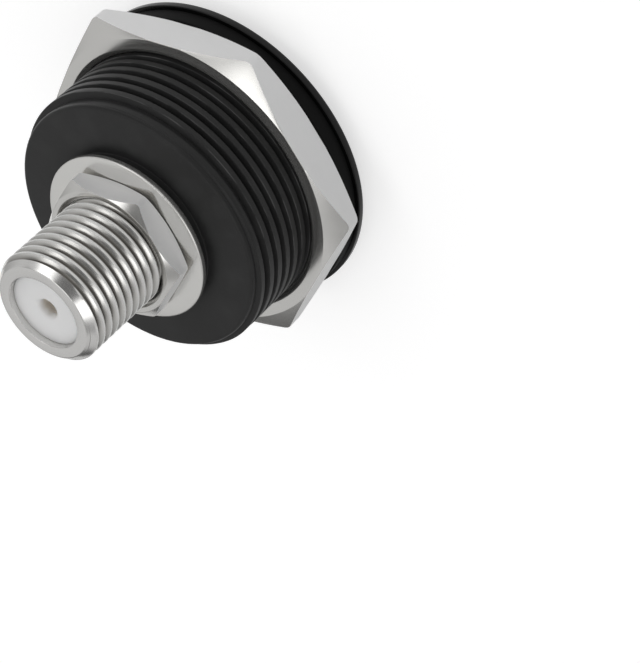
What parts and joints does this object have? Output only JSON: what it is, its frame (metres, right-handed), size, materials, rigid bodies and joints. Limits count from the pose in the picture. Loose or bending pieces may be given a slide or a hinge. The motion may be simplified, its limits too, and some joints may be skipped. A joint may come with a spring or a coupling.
{
  "type": "f connector",
  "caption": "Panel-mount coaxial adapter: black moulded cup with flange, gasket and large nut, and a plated barrel with a threaded coaxial port at each end",
  "frame": {"origin": "centre of the flat front land that the part stands on", "axes": "+Z along the barrel, from the front port up to the rear port; X and Y are free, because only the nuts break the round form"},
  "size_m": [0.029, 0.0284, 0.0245],
  "materials": {
    "black_plastic": "moulded, satin",
    "seal_rubber": "moulded, matt",
    "nickel_plate": "nickel plated, satin",
    "bright_nickel": "nickel plated, bright",
    "white_plastic": "moulded, matt",
    "gilt_bronze": "gold plated"
  },
  "bodies": {
    "adapter": {"housing": "black_plastic", "gasket": "seal_rubber", "barrel": "bright_nickel", "washer": "nickel_plate", "rear_insulator": "white_plastic", "front_insulator": "white_plastic", "centre_contact": "gilt_bronze"},
    "large_nut": {"panel_nut": "nickel_plate"},
    "small_nut": {"barrel_nut": "nickel_plate"}
  },
  "joints": [
    {"name": "panel_nut_travel", "type": "slide", "parent": "adapter", "child": "large_nut", "axis": [0, 0, 1], "range_m": [0, 0.0086]},
    {"name": "small_nut_travel", "type": "slide", "parent": "adapter", "child": "small_nut", "axis": [0, 0, 1], "range_m": [0, 0.0088]}
  ]
}
